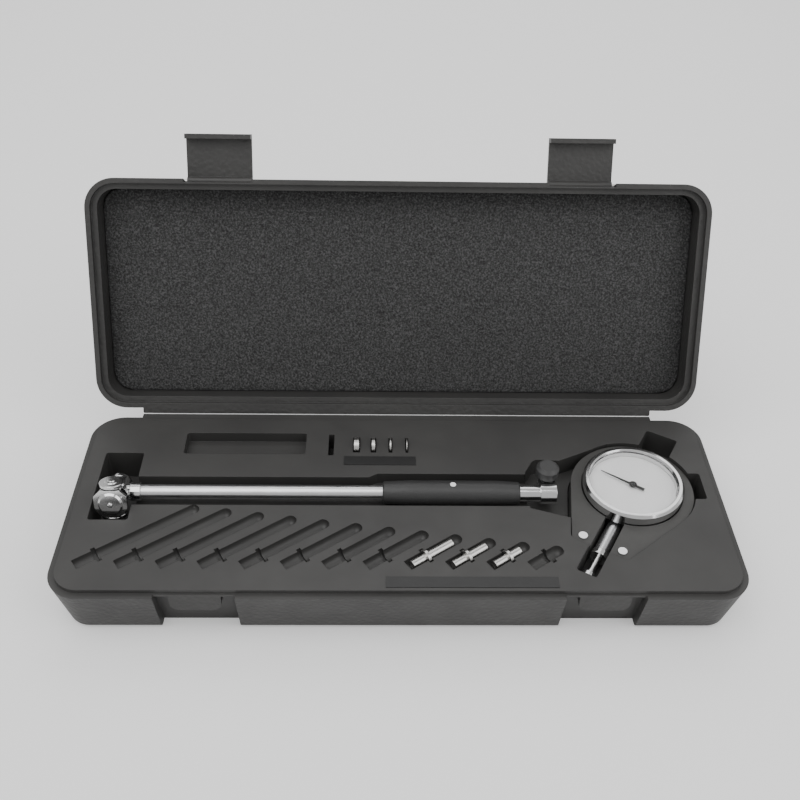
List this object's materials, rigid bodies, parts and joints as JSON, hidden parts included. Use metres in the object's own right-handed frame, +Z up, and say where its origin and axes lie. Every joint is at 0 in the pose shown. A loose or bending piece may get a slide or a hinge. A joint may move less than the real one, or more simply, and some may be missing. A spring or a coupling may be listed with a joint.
{
  "type": "dial bore gauge set in fitted case",
  "caption": "Dial bore gauge with split clamp, dial indicator, spare anvils and washers in its fitted moulded case, lid open.",
  "frame": {"origin": "middle of the case's underside, on the surface it stands on", "axes": "+Z up, +X to the right along the case's length, +Y from the latches to the hinge"},
  "size_m": [0.368, 0.2254, 0.182],
  "materials": {
    "case_plastic": "moulded, satin deck, pebbled walls",
    "foam": "open-cell foam",
    "label_black": "printed label",
    "satin_chrome": "satin chrome plate",
    "bright_chrome": "polished",
    "ground_steel": "ground",
    "grip_cover": "black grained cover",
    "black_plastic": "moulded",
    "shield_grey": "matt paint",
    "dial_white": "printed",
    "clear_window": "clear",
    "pointer_black": "painted",
    "brass": "turned"
  },
  "bodies": {
    "base": {"case_base": "case_plastic", "washer_label": "label_black", "anvil_label": "label_black", "anvil_50": "ground_steel", "anvil_45": "ground_steel", "anvil_40": "ground_steel", "washer_3mm": "ground_steel", "washer_2mm": "ground_steel", "washer_1mm": "ground_steel", "washer_half_mm": "ground_steel", "collar": "bright_chrome", "stem_tube": "satin_chrome", "grip": "grip_cover", "grip_screw": "bright_chrome", "clamp_neck": "satin_chrome", "clamp_band": "bright_chrome", "head_body": "bright_chrome", "crank_pin": "ground_steel", "anvil_35": "ground_steel", "lock_nut": "bright_chrome", "indicator_case": "black_plastic", "movement_plate": "brass", "indicator_stem": "satin_chrome", "stem_ferrule": "satin_chrome", "spindle_cap": "black_plastic", "indicator_guard": "shield_grey", "guard_screws": "bright_chrome"},
    "lid": {"case_lid": "case_plastic", "lid_foam": "foam", "latch_pin_left": "ground_steel", "latch_pin_right": "ground_steel"},
    "latch_l": {"latch_left": "case_plastic"},
    "latch_r": {"latch_right": "case_plastic"},
    "rod": {"push_rod": "ground_steel"},
    "contact": {"measuring_contact": "bright_chrome"},
    "crank": {"bell_crank": "ground_steel"},
    "bridge": {"centring_bridge": "satin_chrome", "wheel_pin_upper": "ground_steel", "wheel_pin_lower": "ground_steel"},
    "wheel_u": {"guide_wheel_upper": "bright_chrome"},
    "wheel_l": {"guide_wheel_lower": "bright_chrome"},
    "knob": {"clamp_knob": "black_plastic"},
    "bezel_ring": {"bezel": "bright_chrome", "crystal": "clear_window", "dial_face": "dial_white"},
    "spindle_rod": {"spindle": "ground_steel", "contact_point": "bright_chrome"},
    "gear": {"rack_gear": "brass"},
    "hand": {"pointer_staff": "ground_steel", "main_pointer": "pointer_black"}
  },
  "joints": [
    {"name": "lid_hinge", "type": "hinge", "parent": "base", "child": "lid", "pos_m": [0, 0.0726, 0.0337], "axis": [1, 0, 0], "range_deg": [0, 115.3]},
    {"name": "latch_left_hinge", "type": "hinge", "parent": "lid", "child": "latch_l", "pos_m": [-0.1063, 0.1422, 0.15521], "axis": [1, 0, 0], "range_deg": [0, 90]},
    {"name": "latch_right_hinge", "type": "hinge", "parent": "lid", "child": "latch_r", "pos_m": [0.1063, 0.1422, 0.15521], "axis": [1, 0, 0], "range_deg": [0, 90]},
    {"name": "push_rod_slide", "type": "slide", "parent": "base", "child": "rod", "axis": [1, 0, 0], "range_m": [0, 0.001], "stiffness_N_per_m": 600, "springref_m": -0.001},
    {"name": "contact_slide", "type": "slide", "parent": "base", "child": "contact", "axis": [0, 0.9511, -0.309], "range_m": [0, 0.001]},
    {"name": "crank_turn", "type": "hinge", "parent": "base", "child": "crank", "pos_m": [-0.1558, 0.00136, 0.03649], "axis": [0, 0.309, 0.9511], "range_deg": [-18.5, 0]},
    {"name": "bridge_slide", "type": "slide", "parent": "base", "child": "bridge", "axis": [0, 0.9511, -0.309], "range_m": [0, 0.0015], "stiffness_N_per_m": 800, "springref_m": -0.002},
    {"name": "wheel_upper_spin", "type": "hinge", "parent": "bridge", "child": "wheel_u", "pos_m": [-0.159, -0.0034, 0.03803], "axis": [0, 0.309, 0.9511], "continuous": true},
    {"name": "wheel_lower_spin", "type": "hinge", "parent": "bridge", "child": "wheel_l", "pos_m": [-0.159, -0.0034, 0.03803], "axis": [0, 0.309, 0.9511], "continuous": true},
    {"name": "clamp_knob_turn", "type": "hinge", "parent": "base", "child": "knob", "pos_m": [0.08405, 0.0132, 0.0355], "axis": [0, 0, 1], "range_deg": [0, 360]},
    {"name": "bezel_turn", "type": "hinge", "parent": "base", "child": "bezel_ring", "pos_m": [0.1338, 0.0102, 0.036], "axis": [0, 0, 1], "continuous": true},
    {"name": "spindle_slide", "type": "slide", "parent": "base", "child": "spindle_rod", "axis": [0.4955, 0.8686, 0], "range_m": [0, 0.01], "stiffness_N_per_m": 100, "springref_m": -0.006},
    {"name": "rack_gear_turn", "type": "hinge", "parent": "base", "child": "gear", "pos_m": [0.13553, 0.01978, 0.036], "axis": [0, 0, 1], "range_deg": [0, 459.37]},
    {"name": "pointer_turn", "type": "hinge", "parent": "base", "child": "hand", "pos_m": [0.1338, 0.0102, 0.036], "axis": [0, 0, 1], "range_deg": [-3601.26, 0]}
  ],
  "couplings": [
    {"joint": "contact_slide", "follows": "push_rod_slide", "ratio": 1},
    {"joint": "crank_turn", "follows": "push_rod_slide", "rad_per_m": -312.5},
    {"joint": "rack_gear_turn", "follows": "spindle_slide", "rad_per_m": 800},
    {"joint": "pointer_turn", "follows": "spindle_slide", "rad_per_m": -6283.6}
  ]
}
